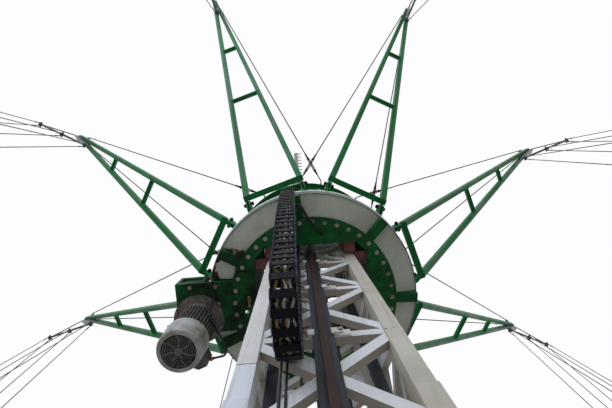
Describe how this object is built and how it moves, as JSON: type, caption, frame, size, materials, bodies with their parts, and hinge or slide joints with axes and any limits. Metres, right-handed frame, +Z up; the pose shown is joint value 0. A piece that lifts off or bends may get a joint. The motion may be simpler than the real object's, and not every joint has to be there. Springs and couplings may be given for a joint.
{
  "type": "tower swing ride",
  "caption": "Slender lattice mast with a lifting carriage round it and a turning head whose outspread arms carry hanging seats, for a fairground.",
  "frame": {"origin": "on the ground, at the middle of the mast's base flange", "axes": "+Z up along the mast, -Y towards the side with the hanging energy chain, +X to the right seen from there"},
  "size_m": [9.4786, 9.4786, 24.1968],
  "materials": {
    "mast_white": "worn white paint",
    "rail_dark": "greased steel with rust",
    "cable_black": "black sheath",
    "bare_steel": "machined",
    "rope_steel": "greased wire",
    "plate_green": "worn gloss paint",
    "arm_green": "worn gloss paint",
    "cover_cream": "worn cream paint",
    "pad_pink": "rubbed",
    "motor_grey": "dusty paint",
    "chain_black": "dusty",
    "hanger_grey": "worn paint",
    "seat_green": "moulded shell"
  },
  "bodies": {
    "tower": {"base_flange": "mast_white", "leg_front_left": "mast_white", "leg_front_right": "mast_white", "leg_back_left": "mast_white", "leg_back_right": "mast_white", "brace_front": "mast_white", "brace_back": "mast_white", "brace_left": "mast_white", "brace_right": "mast_white", "rail_front": "rail_dark", "rail_back": "rail_dark", "rail_clamps": "mast_white", "counterweight_rails": "rail_dark", "mast_cables": "cable_black", "head_frame": "mast_white", "head_sheaves": "bare_steel", "foot_sheaves": "bare_steel", "hoist_ropes": "rope_steel", "service_jib": "mast_white"},
    "carriage": {"slew_plate": "plate_green", "cover_spokes": "plate_green", "cover_panels": "cover_cream", "rim_band": "bare_steel", "carriage_sleeve": "plate_green", "guide_shoes": "pad_pink", "slew_ring_fixed": "bare_steel", "drive_housing": "plate_green", "motor_body": "motor_grey", "motor_cowl": "motor_grey", "motor_box": "motor_grey", "chain_bracket": "plate_green", "energy_chain": "chain_black", "rope_clamps": "bare_steel"},
    "rotor": {"slew_ring_moving": "bare_steel", "hub_floor": "arm_green", "arm_lugs": "arm_green", "hub_columns": "arm_green", "hub_top_ring": "arm_green", "arm_1": "arm_green", "arm_2": "arm_green", "arm_3": "arm_green", "arm_4": "arm_green", "arm_5": "arm_green", "arm_6": "arm_green", "arm_7": "arm_green", "arm_8": "arm_green", "arm_stays": "rope_steel", "spreaders": "hanger_grey", "hanging_ropes": "rope_steel", "seat_1": "seat_green", "seat_2": "seat_green", "seat_3": "seat_green", "seat_4": "seat_green", "seat_5": "seat_green", "seat_6": "seat_green", "seat_7": "seat_green", "seat_8": "seat_green"}
  },
  "joints": [
    {"name": "carriage_lift", "type": "slide", "parent": "tower", "child": "carriage", "axis": [0, 0, 1], "range_m": [-2.9, 15.2]},
    {"name": "head_spin", "type": "hinge", "parent": "carriage", "child": "rotor", "pos_m": [0, 0, 5.05], "axis": [0, 0, 1], "continuous": true}
  ]
}
